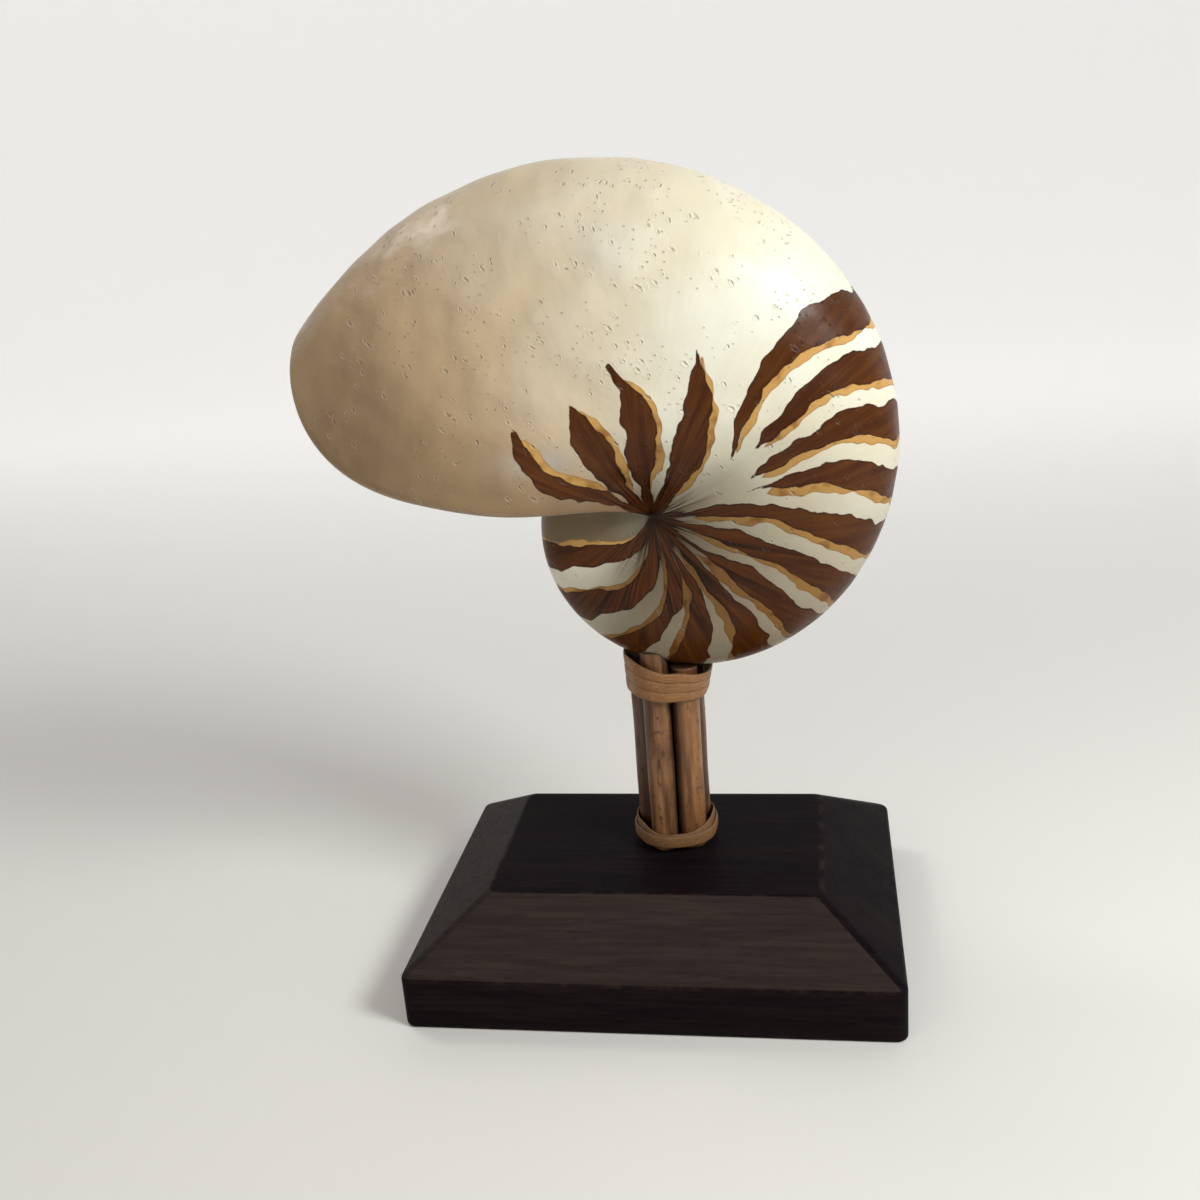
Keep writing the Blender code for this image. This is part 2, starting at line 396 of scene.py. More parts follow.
# each stripe is a row of (share, younger edge, older edge) in degrees, and its edges
# run as smooth curves through them: leaves and tongues have a pointed end
stripeValues = {
    "leaves": [
        ((0.10, 322, 313), (0.18, 331, 316.5), (0.26, 332, 322),
         (0.33, 326, 318), (0.41, 315, 315)),
        ((0.10, 306, 290), (0.18, 308.5, 287.5), (0.26, 304.5, 286.5),
         (0.33, 300, 290), (0.40, 294, 294)),
        ((0.10, 277, 264), (0.18, 280.5, 259), (0.26, 278, 259),
         (0.36, 276, 263), (0.47, 277, 277)),
        ((0.10, 247, 226), (0.18, 247, 226.5), (0.26, 249, 228.5),
         (0.41, 250, 236.5), (0.57, 251, 251)),
    ],
    "tongues": [
        ((0.38, 218, 218), (0.45, 227.5, 223), (0.60, 232.5, 228), (0.75, 232.5, 226.5),
         (0.88, 231, 222.5), (1, 226, 219)),
        ((0.46, 215, 214.5), (0.54, 218.5, 214.5), (0.65, 220, 215),
         (0.78, 220.5, 214.5), (1, 214.5, 207)),
        ((0.43, 205, 205), (0.51, 207.5, 204), (0.65, 209, 203.8),
         (0.80, 208.5, 202), (1, 202.5, 194.5)),
        ((0.40, 199, 199), (0.47, 199.5, 196.5), (0.62, 199, 192.5),
         (0.80, 196.5, 188), (1, 188, 180.5)),
    ],
    "rays": [
        ((0.06, 198, 193), (0.25, 196.5, 187.5), (0.45, 190, 182.5),
         (0.70, 183, 174), (1, 175, 166)),
        ((0.06, 180, 171), (0.25, 177.5, 166.5), (0.45, 173, 163),
         (0.70, 166, 157.5), (1, 159, 150)),
        ((0.06, 157, 151), (0.25, 153.5, 148), (0.45, 155, 143.5),
         (0.70, 149.5, 140), (1, 145, 134)),
        ((0.06, 145, 136), (0.25, 142.5, 131), (0.45, 137, 128.5),
         (0.70, 134, 124), (1, 126.5, 113)),
        ((0.06, 129, 122), (0.25, 126.5, 119), (0.45, 123.5, 116), (0.70, 115, 102), (1, 103, 89)),
        ((0.06, 124, 112), (0.25, 119, 106), (0.45, 110, 99), (0.70, 93, 81), (1, 79, 62)),
        ((0.06, 108, 92), (0.25, 99.5, 79), (0.45, 86.5, 67), (0.70, 66, 48), (1, 50, 36)),
        ((0.06, 80, 62), (0.25, 63, 41.5), (0.45, 44, 24.5), (0.70, 33, 18), (1, 26, 12)),
    ],
    "ochreWidth": 0.0022,
    "ochreInset": 0.0028,
    "ochreStart": (0.010, 0.025),
    "wedgeOchreStart": (0.0025, 0.0070),
    "ochreThinAngles": (45, 120),
    "leafTipTaper": 0.008,
    "navelSpread": 0.0012,
    "navelSpreadReach": (0.005, 0.015),
    "strokeReach": (0.010, 0.008, 0.002),
    "noStripe": -0.02,
}


def smoothThrough(places, values, at):
    # cubic pieces through the given values, with the slope at each taken from both sides
    slopes = np.gradient(values, places)
    piece = np.clip(np.searchsorted(places, at) - 1, 0, len(places) - 2)
    width = places[piece + 1] - places[piece]
    part = np.clip((at - places[piece]) / width, 0, 1)
    rise = part * part * (3 - 2 * part)
    bend = slopes[piece] * part * (1 - part) ** 2 - slopes[piece + 1] * part * part * (1 - part)
    return values[piece] + (values[piece + 1] - values[piece]) * rise + bend * width


def stripeFields(angle, share):
    # signed distance in metres to the brown stripes and to their ochre borders,
    # positive inside: the smaller of the ways to the two edges and to the pointed end
    values = stripeValues
    radius = keelRadius(angle)
    perDegree = radians(1) * radius * share
    away = radius * share
    spread = values["navelSpread"] * (1 - smoothStep(*values["navelSpreadReach"], away))
    brown = np.full(share.shape, values["noStripe"])
    ochre = np.full(share.shape, values["noStripe"])
    for group in ("leaves", "tongues", "rays"):
        for stripe in values[group]:
            places = np.array(stripe, dtype=float)
            younger = smoothThrough(places[:, 0], places[:, 1], share)
            older = smoothThrough(places[:, 0], places[:, 2], share)
            ends = np.full(share.shape, 1.0)
            if group == "tongues":
                ends = (share - places[0, 0]) * radius
            if group == "leaves":
                ends = (places[-1, 0] - share) * radius
            inYounger = (younger - angle) * perDegree
            inOlder = (angle - older) * perDegree
            body = np.minimum(inYounger, inOlder)
            start = "wedgeOchreStart" if stripe == values["rays"][-1] else "ochreStart"
            border = values["ochreWidth"] * smoothStep(*values[start], away)
            border = border * (0.5 + 0.5 * smoothStep(*values["ochreThinAngles"], angle))
            tip = np.clip(ends / values["leafTipTaper"], 0, 1)
            brown = np.maximum(brown, np.minimum(body + spread, ends))
            wider = np.minimum(inYounger - values["ochreInset"], inOlder + border * tip)
            ochre = np.maximum(ochre, np.minimum(wider, ends))
    return brown, ochre


def navelReach(angle, share):
    # distance from the navel as a part of how far the brown strokes run there: far
    # toward the front, farthest just before the first ray, and short over the last whorl
    forward = smoothStep(10, 50, angle) * (1 - smoothStep(205, 240, angle))
    longest = np.exp(-((angle - 211) / 12) ** 2)
    shortReach, more, most = stripeValues["strokeReach"]
    return keelRadius(angle) * share / (shortReach + more * forward + most * longest)


# colours as linear red, green and blue
paintValues = {
    "cream": (0.745, 0.69, 0.535),
    "creamLight": (0.785, 0.785, 0.675),
    "beige": (0.45, 0.288, 0.147),
    "brown": (0.050, 0.012, 0.002),
    "brownLight": (0.098, 0.030, 0.004),
    "brownDark": (0.012, 0.004, 0.002),
    "ochre": (0.55, 0.315, 0.095),
    "ochreDark": (0.33, 0.155, 0.036),
    "ochreLine": (0.17, 0.070, 0.018),
    "dirt": (0.24, 0.17, 0.10),
    "inside": (0.70, 0.62, 0.50),
    "smudge": (0.42, 0.44, 0.44),
    # painted shade in the wedge under the lip
    "shade": (0.155, 0.104, 0.054),
    "olive": (0.205, 0.185, 0.130),
    "lipShade": (0.21, 0.135, 0.075),
    "stain": (0.22, 0.125, 0.060),
    # painted shade, multiplied in under the front of the whorl
    "under": (0.44, 0.37, 0.31),
    # painted shade, multiplied in over the navel's dip
    "dip": (0.61, 0.60, 0.585),
    "beigeAngles": (240, 325),
    "lipShadeAngles": (306, 346),
    "edgeWander": 0.0056,
    "edgeTeeth": 0.0008,
    "edgeTorn": 0.0030,
    "ochreWander": 0.0052,
    # each kind of pit: slant in degrees, stretch, cells a metre, size as a part of a
    # cell, and how many cells have one
    "pits": [
        (-48, 0.46, 185, 0.105, 0.34),
        (-22, 0.50, 225, 0.10, 0.22),
        (-70, 0.7, 380, 0.085, 0.24),
    ],
    "pitDepth": 0.00042,
    "pitLip": 0.00018,
    "peel": 0.00006,
    "lumpAngles": (235, 290),
    "lumps": (0.0008, 0.0040),
    "dimples": (0.0001, 0.0006),
    "smudgePlace": (-0.027, 0.202),
    "smudgeSize": (0.011, 0.0045),
}


def makeShellMaterial():
    values = paintValues
    surface = Surface("painted shell", 0.38, coat=0.045, coatRoughness=0.12, specular=0.15)
    mix, span, noise, layer = surface.mix, surface.span, surface.noise, surface.layer
    times, plus, minus = surface.times, surface.plus, surface.minus
    placed = surface.place()
    growth = layer("growth")
    share = layer("share")
    inside = layer("inside")

    # cream ground with soft clouds of a lighter cream, beige toward the mouth, painted shade toward
    # the lip, and a grey smudge
    clouds = noise(placed, 24, 4, 0.55)
    ground = mix(span(clouds, 0.35, 0.7), values["cream"], values["creamLight"])
    towardMouth = span(growth, *values["beigeAngles"])
    drift = span(noise(placed, 13, 3), 0.15, 0.75, 0.72, 1.0)
    drift = times(towardMouth, drift)
    ground = mix(times(drift, 0.90), ground, values["beige"])
    # painted shade toward the lip: darker over the last part of the whorl, less near the keel
    lipShade = span(growth, *values["lipShadeAngles"])
    lipShade = times(lipShade, span(clouds, 0.2, 0.7, 0.75, 1.0))
    lipShade = times(lipShade, span(share, 0.70, 0.92, 1.0, 0.6))
    ground = mix(lipShade, ground, values["lipShade"])
    smudge = times(layer("smudge"), span(clouds, 0.3, 0.6, 0.85, 0.5))
    ground = mix(smudge, ground, values["smudge"])

    # fine lines that follow the growth: faint all over, brown strokes near the navel;
    # near is the distance from the navel as a part of the strokes' own reach
    threads = surface.combine(times(growth, 0.35), times(share, 2.2), 0.0)
    lines = noise(threads, 1.0, 5, 0.65)
    bands = surface.combine(times(growth, 0.16), share, 4.0)
    broad = noise(bands, 1.0, 2)
    ground = mix(span(lines, 0.3, 0.75, 0.0, 0.05), ground, values["dirt"])
    near = layer("near")
    reach = plus(near, span(broad, 0.3, 0.7, 0.35, -0.35))
    strokes = span(lines, 0.42, 0.58)
    strokes = times(strokes, span(reach, 0.35, 1.25, 1.0, 0.0))
    ground = mix(span(near, 0.2, 2.4, 0.45, 0.0), ground, values["stain"])
    ground = mix(times(strokes, 0.85), ground, values["stain"])

    # painted shade in the wedge under the lip: olive at the navel and browner farther out
    shaded = mix(span(share, 0.12, 0.42), values["olive"], values["shade"])
    inWedge = layer("shade")
    ground = mix(times(inWedge, 0.95), ground, shaded)
    clear = minus(1.0, inWedge)

    # stripes: their edges wander by noise of two sizes, and are torn near the navel
    calm = span(near, 0.5, 2.0)
    wander = surface.waver(placed, 110, 1, values["edgeWander"])
    teeth = surface.waver(placed, 420, 2, values["edgeTeeth"])
    torn = span(near, 0.5, 1.6, values["edgeTorn"], 0.0)
    torn = times(minus(lines, 0.5), torn)
    edge = plus(times(plus(wander, teeth), calm), torn)
    otherEdge = surface.waver(surface.place(turn=(20, 40, 10)), 130, 1, values["ochreWander"])
    otherEdge = times(otherEdge, calm)
    ochreReach = plus(layer("ochre"), otherEdge)
    brownReach = plus(layer("brown"), edge)
    ochreMask = span(ochreReach, -0.0002, 0.0002)
    brownMask = span(brownReach, -0.00016, 0.00016)
    ochreTone = span(noise(placed, 140, 2), 0.3, 0.5)
    ochreTone = mix(ochreTone, values["ochreDark"], values["ochre"])
    outline = span(ochreReach, 0.0001, 0.0005, 0.5, 0.0)
    ochreTone = mix(outline, ochreTone, values["ochreLine"])
    brownTone = mix(span(lines, 0.35, 0.68), values["brown"], values["brownLight"])
    blotches = span(noise(placed, 60, 4, 0.6), 0.45, 0.75)
    brownTone = mix(times(blotches, 0.55), brownTone, values["brownLight"])
    rim = span(brownReach, 0.0, 0.0009, 1.0, 0.0)
    rim = times(rim, span(near, 0.8, 4.0, 1.0, 0.5))
    brownTone = mix(rim, brownTone, values["brownDark"])
    painted = mix(ochreMask, ground, ochreTone)

    # painted shade over cream and ochre: under the front of the whorl, and in the navel's dip
    under = span(growth, 35, 80)
    under = times(under, span(growth, 130, 225, 1.0, 0.0))
    under = times(under, span(clouds, 0.3, 0.7, 0.8, 1.0))
    painted = mix(under, painted, values["under"], "MULTIPLY")
    # painted shade in the navel's dip, which turns away from the light
    dip = times(span(near, 0.8, 4.6, 1.0, 0.0), span(growth, 25, 60))
    painted = mix(dip, painted, values["dip"], "MULTIPLY")
    painted = mix(brownMask, painted, brownTone)

    # near-black hair lines that run in to the navel, and its dark eye
    strands = surface.combine(times(growth, 0.24), share, 9.0)
    hairs = span(noise(strands, 1.0, 3, 0.5), 0.52, 0.57)
    hairs = times(hairs, span(reach, 1.0, 3.4, 1.0, 0.0))
    onPaint = surface.math("MAXIMUM", brownMask, span(near, 0.4, 1.1, 1.0, 0.05))
    hairs = times(hairs, times(onPaint, clear))
    painted = mix(hairs, painted, values["brownDark"])
    eye = times(span(reach, 0.05, 0.55, 0.9, 0.0), clear)
    painted = mix(eye, painted, values["brownDark"])

    # small slanting pits in loose groups, and finer pricks; the flank's are laid out over
    # X and Z, and the keel's over growth and Y
    onKeel = surface.math("GREATER_THAN", share, 0.93)
    flankPlan = surface.place(turn=(-90, 0, 0))
    keelPlan = surface.combine(times(growth, 0.0022), layer("across"), 0.0)
    plan = mix(onKeel, flankPlan, keelPlan)
    clusters = noise(surface.place(turn=(5, 0, 30)), 72, 1)
    ragged = surface.waver(placed, 950, 2, 0.17)
    # a pit needs a low chance: fewer between the groups, by the front and at the lip
    sparse = plus(span(growth, 195, 242, 0.26, 0.0), span(growth, 305, 335, 0.0, 0.16))
    odds = plus(span(clusters, 0.38, 0.60, 0.40, -0.38), sparse)
    pit = 0.0
    lipOfPit = 0.0
    for slant, stretch, scale, size, filled in values["pits"]:
        laid = surface.place(scale=(1, stretch, 1), turn=(0, 0, slant), source=plan)
        distance, chance, spread = surface.cells(laid, scale)
        likely = surface.math("LESS_THAN", plus(chance, odds), filled)
        rim = plus(times(spread, size * 0.7), size * 0.3)
        deep = plus(minus(distance, rim), ragged)
        dug = times(span(deep, -0.09, 0.06, 1.0, 0.0), likely)
        raised = times(span(deep, -0.02, 0.12, 1.0, 0.0), likely)
        pit = surface.math("MAXIMUM", pit, dug)
        lipOfPit = surface.math("MAXIMUM", lipOfPit, minus(raised, dug))
    pit = times(pit, minus(1.0, times(inside, 0.8)))
    painted = mix(times(pit, 0.07), painted, values["dirt"])
    # painted highlight: the pits' raised rims are lighter, more over cream than over brown
    pale = times(lipOfPit, span(brownMask, 0.0, 1.0, 0.12, 0.02))
    painted = mix(pale, painted, values["creamLight"])
    surface.colour(mix(inside, painted, values["inside"]))

    # relief in metres: a faint orange peel, soft lumps toward the mouth, and the pits
    peel = times(noise(placed, 330, 3, 0.6), values["peel"])
    lumps = span(growth, *values["lumpAngles"], *values["lumps"])
    lumps = times(noise(placed, 48, 1), lumps)
    dimples = span(growth, *values["lumpAngles"], *values["dimples"])
    dimples = times(noise(placed, 120, 2), dimples)
    dug = times(pit, -values["pitDepth"])
    dug = plus(dug, times(lipOfPit, values["pitLip"]))
    height = plus(plus(peel, plus(lumps, dimples)), dug)
    surface.relief(height)
    surface.gloss(span(noise(placed, 150, 3), 0.3, 0.75, 0.30, 0.46))
    return surface.material


def makeShell():
    # arcs run from navel over the keel to the other navel; the row of arcs goes round
    # the outside, over the lip, back along the wall, across the back and out on the floor
    values = shellValues
    steps = np.arange(-values["stepsPerSide"], values["stepsPerSide"] + 1)
    share = np.cos(steps / values["stepsPerSide"] * pi / 2)
    share[[0, -1]] = 0
    side = np.where(steps < 0, -1.0, 1.0)
    lip = lipAngle(share)
    thickness = values["wall"] * smoothStep(0, values["wallTaperReach"], share)[:, None]

    def sheet(angle):
        # arcs at the given angles: their points and their outward normals
        shares = np.broadcast_to(share, angle.shape)
        sides = np.broadcast_to(side, angle.shape)
        return flankPoint(angle, shares, sides), flankNormal(angle, shares, sides)

    # the outside, less its dents, which fade at the navel, the lip and the inner whorl
    outerPart = np.linspace(0, 1, values["outerSteps"] + 1)[:, None]
    outerAngle = outerPart * lip[None, :]
    outer, outerNormal = sheet(outerAngle)
    fade = smoothStep(0.0, 0.12, share) * smoothStep(0, 25, outerAngle)
    fade = fade * (1 - smoothStep(0.985, 1, outerPart)) * smoothStep(90, 200, outerAngle)
    dents = hammerMarks(outer) * fade * values["hammerDepth"]
    outer = outer - outerNormal * dents[..., None]

    # the lip: a half circle from the outside to the inside of the wall
    normal = flankNormal(lip, share, side)
    forward = np.stack([np.sin(np.radians(lip)), 0 * lip, -np.cos(np.radians(lip))], axis=-1)
    turn = np.linspace(0, pi, values["roundSteps"] + 1)[1:-1, None, None]
    middle = flankPoint(lip, share, side) - normal * thickness / 2
    rim = middle + (normal * np.cos(turn) + forward * np.sin(turn)) * thickness / 2

    # the wall's inside: the outside moved in by the thickness
    wallPart = np.linspace(0, 1, values["wallSteps"] + 1)[:, None]
    wallAngle = lip[None, :] + (values["backAngle"] - lip[None, :]) * wallPart
    wall, wallNormal = sheet(wallAngle)
    wall = wall - wallNormal * thickness

    # the back: straight from the wall to the floor, hollowed by a sine
    backPart = np.linspace(0, 1, values["backSteps"] + 1)[1:-1, None, None]
    floorStart = flankPoint(values["backAngle"] - 360 + 0 * share, share, side)
    away = radians(values["backAngle"])
    backward = np.array([-sin(away), 0, cos(away)])
    hollow = values["backHollow"] * np.sin(pi * backPart) * (share * (2 - share))[:, None]
    back = wall[-1] * (1 - backPart) + floorStart * backPart + backward * hollow

    # the floor: the inner whorl, carried on backward to the first arc
    floorPart = np.linspace(1, 0, values["floorSteps"] + 1)[:-1, None]
    floorAngle = (values["backAngle"] - 360) * floorPart + 0 * share[None, :]
    floor = sheet(floorAngle)[0]

    grid = np.concatenate([outer, rim, wall, back, floor])
    rows, columns = grid.shape[:2]
    growth = np.concatenate([outerAngle, np.broadcast_to(lip, rim.shape[:2]), wallAngle,
                             np.full(back.shape[:2], values["backAngle"]), floorAngle])
    shares = np.broadcast_to(share, growth.shape)
    brown, ochre = stripeFields(growth, shares)
    # unpainted inside: the wall and back, the deep part of the floor, and half of the lip
    hidden = np.zeros(growth.shape)
    firstInside = len(outer) + len(rim)
    hidden[firstInside:firstInside + len(wall) + len(back)] = 1
    hidden[-len(floor):] = smoothStep(-8, -45, floorAngle)
    hidden[len(outer):firstInside] = np.linspace(0.1, 0.9, len(rim))[:, None]
    # one grey smudge on the near flank, a soft oval: e^-(distance / size)^2
    fromSmudge = (grid[..., [0, 2]] - paintValues["smudgePlace"]) / paintValues["smudgeSize"]
    smudge = np.exp(-(fromSmudge ** 2).sum(axis=-1)) * (grid[..., 1] < 0) * (1 - hidden)
    # the wedge between the lip and the first ray takes painted shade, as it lies in the lip's
    # shadow
    firstRay = np.array(stripeValues["rays"][-1], dtype=float)
    beforeRay = smoothThrough(firstRay[:, 0], firstRay[:, 2], shares) - growth
    shade = smoothStep(-3, 2, beforeRay) * smoothStep(0.03, 0.09, shares)

    # the first and last column are the two navels, each one point shared by every arc
    points = np.concatenate([grid[:, 1:-1].reshape(-1, 3), grid[:1, 0], grid[:1, -1]])
    width = columns - 2
    first = np.arange(rows) * width
    following = np.roll(first, -1)
    near = np.full(rows, rows * width)
    nearFan = np.stack([near, first, following], axis=1)
    farFan = np.stack([near + 1, following + width - 1, first + width - 1], axis=1)
    faces = wrapGrid(rows, width, True, False).tolist() + nearFan.tolist() + farFan.tolist()

    fields = {"growth": growth, "share": shares, "brown": brown, "ochre": ochre,
              "inside": hidden, "smudge": smudge, "across": grid[..., 1], "shade": shade,
              "near": navelReach(growth, shares)}
    layers = {name: np.concatenate([field[:, 1:-1].ravel(), field[:1, 0], field[:1, -1]])
              for name, field in fields.items()}
    shell = meshPiece("nautilus_shell", points, faces, makeShellMaterial(), layers)
    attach(shell, "root")
    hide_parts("shell")


makeShell()
print("shell")


# ---- canes

caneValues = {
    "centre": (0.0055, 0.005),
    "count": 5,
    "radius": 0.0053,
    "gap": 0.0003,
    "firstAngle": -113,
    "cutHeights": (0.1215, 0.1145, 0.1170, 0.1200, 0.1190),
    "turns": 72,
    "heights": 110,
    "topRings": 10,
    "underShell": 0.00045,
    "footChamfer": 0.97,
    "nodeWidth": 0.0012,
    "grooveWidth": 0.0004,
    "grooveBelow": 0.0011,
    "scarWidth": 0.00038,
    "scarSpread": (27, 20),
    "frontScarAngle": -87,
    # light tone, dark tone, how mottled, node height
    "looks": [
        ((0.30, 0.138, 0.050), (0.080, 0.028, 0.008), 0.75, 0.0888),
        ((0.33, 0.150, 0.052), (0.12, 0.044, 0.013), 0.55, 0.064),
        ((0.22, 0.098, 0.036), (0.065, 0.026, 0.010), 0.6, 0.092),
        ((0.28, 0.135, 0.050), (0.10, 0.040, 0.014), 0.6, 0.070),
        ((0.15, 0.064, 0.023), (0.040, 0.016, 0.006), 0.8, 0.100),
    ],
    "speck": (0.030, 0.014, 0.007),
    "weather": (0.040, 0.017, 0.008),
    # painted shade between the canes
    "crevice": (0.026, 0.011, 0.006),
    "scar": (0.030, 0.018, 0.011),
    # sawn tops: their own end tone, darkened also as painted shade under the shell
    "cut": (0.11, 0.055, 0.03),
}
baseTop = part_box("base")[1][2]


def undersideHeight(x, y):
    # height of the shell's underside above each point, by a few rounds of correction
    centre = shellValues["navel"]
    reach = keelRadius(90.0) + 0 * x
    for _ in range(8):
        angle = 90 + np.degrees(np.arcsin(np.clip((x - centre[0]) / reach, -1, 1)))
        across = np.abs(y - centre[1]) / (shellValues["bulgeShare"] * keelRadius(angle))
        inward = np.clip(1 - across ** 2, 0.01, 1) ** (1 / shellValues["keelRoundness"])
        reach = keelRadius(angle) * inward
    return centre[2] - np.sqrt(np.clip(reach ** 2 - (x - centre[0]) ** 2, 0, None))


def caneRing():
    # radius of the circle through the canes' middles, which are a radius and half a gap
    # from each neighbour's: that width / sin(half the angle between two canes)
    return (caneValues["radius"] + caneValues["gap"] / 2) / sin(pi / caneValues["count"])


def caneAngle(index):
    return radians(caneValues["firstAngle"] + index * 360 / caneValues["count"])


def canePlace(index):
    ring = caneRing()
    angle = caneAngle(index)
    middleX, middleY = caneValues["centre"]
    return middleX + ring * cos(angle), middleY + ring * sin(angle)


def makeCaneMaterial(name, light, dark, mottling):
    surface = Surface(name, 0.42, coat=0.15, coatRoughness=0.3, specular=0.45)
    grain = surface.place(scale=(1, 1, 0.05))
    fibres = surface.noise(grain, 900, 4, 0.6)
    streaks = surface.noise(surface.place(scale=(1, 1, 0.09)), 260, 3, 0.55)
    patches = surface.noise(surface.place(scale=(1, 1, 0.35)), 120, 4, 0.6, 0.4)
    tone = surface.mix(surface.span(streaks, 0.35, 0.65), dark, light)
    patchy = surface.times(surface.span(patches, 0.42, 0.68), mottling)
    tone = surface.mix(patchy, tone, dark)
    specks = surface.noise(surface.place(scale=(1, 1, 0.45)), 620, 3, 0.6)
    speckled = surface.span(specks, 0.60, 0.66, 0.0, mottling)
    tone = surface.mix(speckled, tone, caneValues["speck"])
    weather = surface.noise(surface.place(scale=(1, 1, 0.12)), 330, 3, 0.6, 0.6)
    weather = surface.span(weather, 0.62, 0.68, 0.0, 0.85)
    tone = surface.mix(weather, tone, caneValues["weather"])
    tone = surface.mix(surface.span(fibres, 0.3, 0.7, 0.25, 0.0), tone, dark)
    for part in ("crevice", "scar", "cut"):
        tone = surface.mix(surface.layer(part), tone, caneValues[part])
    surface.colour(tone)
    height = surface.plus(surface.times(fibres, 0.00012), surface.times(streaks, 0.00016))
    height = surface.plus(height, surface.times(specks, -0.00030))
    surface.relief(height)
    surface.gloss(surface.span(patches, 0.3, 0.7, 0.36, 0.58))
    return surface.material


def makeCane(index):
    # a rod with a slightly uneven radius and one node ring; the top is sawn level and
    # hollowed to the shell's underside
    values = caneValues
    light, dark, mottling, nodeHeight = values["looks"][index]
    cutHeight = values["cutHeights"][index]
    centreX, centreY = canePlace(index)
    bottom = baseTop + values["gap"]

    def topHeight(x, y):
        return np.minimum(cutHeight, undersideHeight(x, y) - values["underShell"])

    # radius = full * (1 - slow dips along and round the rod + node's bump - its groove),
    # where bump and groove are e^-(height / width)^2
    turn = np.linspace(0, 2 * pi, values["turns"], endpoint=False)[None, :]
    part = np.linspace(0, 1, values["heights"])[:, None]
    rawHeight = bottom + (cutHeight - bottom) * part
    phase = 1.7 * index
    dip = 0.03 * (1 + np.sin(rawHeight * 160 + phase)) / 2
    dip = dip + 0.012 * (1 + np.sin(turn * 2 + rawHeight * 50 + phase)) / 2
    grooveHeight = nodeHeight + values["grooveBelow"]
    bump = np.exp(-((rawHeight - nodeHeight) / values["nodeWidth"]) ** 2)
    groove = np.exp(-((rawHeight - grooveHeight) / values["grooveWidth"]) ** 2)
    radius = values["radius"] * np.minimum(1 - dip + 0.02 * bump - 0.02 * groove, 1)
    radius = radius * np.where(part < 0.006, values["footChamfer"], 1.0)
    x = radius * np.cos(turn)
    y = radius * np.sin(turn)
    top = topHeight(centreX + x, centreY + y)
    z = np.minimum(rawHeight + 0 * turn, top)
    z[-1] = top[-1]
    grid = np.stack([centreX + x, centreY + y, z], axis=-1)
    ringPart = np.linspace(1, 0, values["topRings"] + 1)[1:-1, None]
    capX = centreX + x[-1] * ringPart
    capY = centreY + y[-1] * ringPart
    cap = np.stack([capX, capY, topHeight(capX, capY)], axis=-1)
    whole = np.concatenate([grid, cap])
    rows, columns = whole.shape[:2]
    tipZ = float(topHeight(np.array(centreX), np.array(centreY)))
    ends = [[centreX, centreY, tipZ], [centreX, centreY, bottom]]
    points = np.concatenate([whole.reshape(-1, 3), ends])
    faces = tubeFaces(rows, columns, rows * columns + 1, rows * columns)

    # painted shade: dark where the cane lies in the gap between its neighbours, or faces the core
    outward = np.arctan2(centreY - values["centre"][1], centreX - values["centre"][0])
    onCap = np.zeros(cap.shape[:2])
    facing = smoothStep(0.55, -0.25, np.cos(turn - outward)) + 0 * part
    crevice = np.concatenate([facing, onCap]) * 0.85
    # a short dark scratch across the node, on the side that faces out
    scarTurn = radians(values["frontScarAngle"]) if index == 0 else outward
    wobble = 0.0003 * np.sin(turn * 9)
    scarLine = np.exp(-((rawHeight + wobble - grooveHeight) / values["scarWidth"]) ** 2)
    scarEnds = [cos(radians(angle)) for angle in values["scarSpread"]]
    scarLine = scarLine * smoothStep(*scarEnds, np.cos(turn - scarTurn))
    scar = np.concatenate([scarLine * 0.8, onCap])
    # the sawn top has its own tone, darkened also as painted shade under the shell, and the ring at
    # its edge is part of the way to it
    cut = np.concatenate([np.zeros(grid.shape[:2]), onCap + 1])
    cut[len(grid) - 1] = 0.6
    layers = {name: np.concatenate([field.ravel(), [field[-1, 0], 0]])
              for name, field in (("crevice", crevice), ("scar", scar), ("cut", cut))}
    material = makeCaneMaterial("cane " + str(index + 1), light, dark, mottling)
    cane = meshPiece("cane_rod_" + str(index + 1), points, faces, material, layers)
    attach(cane, "root")
    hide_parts("cane_" + str(index + 1))


for caneIndex in range(caneValues["count"]):
    makeCane(caneIndex)
print("canes")


# ---- bindings

bindingValues = {
    "thickness": 0.0010,
    "roundness": 0.6,
    "cornerSteps": 24,
    "sectionSteps": 20,
    "upperLow": (0.1028, -0.0011),
    "upperRim": (0.1154, -0.0037),
    "upperFlare": (0.0013, 0.0008),
    "upperStrands": 3,
    "underShell": 0.0006,
    "strandWave": 0.00022,
    "strandOverlap": 0.0002,
    "lowerOuter": (0.0448, 0.0002),
    "lowerInner": (0.0466, 0.0002),
    "lowerSaddle": 0.0016,
    "lowerHeight": 0.0050,
    # light tone, dark tone
    "upperLook": ((0.41, 0.200, 0.074), (0.185, 0.078, 0.028)),
    "lowerLook": ((0.30, 0.155, 0.057), (0.13, 0.058, 0.021)),
    "edgeColour": (0.10, 0.055, 0.028),
}


def bundleOutline():
    # a closed path round the canes with the direction that each point faces: partly
    # the tight loop round the rods, partly the circle round them all
    places = []
    turns = []
    radius = caneValues["radius"]
    steps = bindingValues["cornerSteps"]
    sweep = ((np.arange(steps) + 0.5) / steps - 0.5) * 2 * pi / caneValues["count"]
    for index in range(caneValues["count"]):
        turn = caneAngle(index) + sweep
        direction = np.stack([np.cos(turn), np.sin(turn)], axis=-1)
        tight = np.array(canePlace(index)) + radius * direction
        circle = np.array(caneValues["centre"]) + (caneRing() + radius) * direction
        places.append(tight + (circle - tight) * bindingValues["roundness"])
        turns.append(turn)
    return np.concatenate(places), np.concatenate(turns)


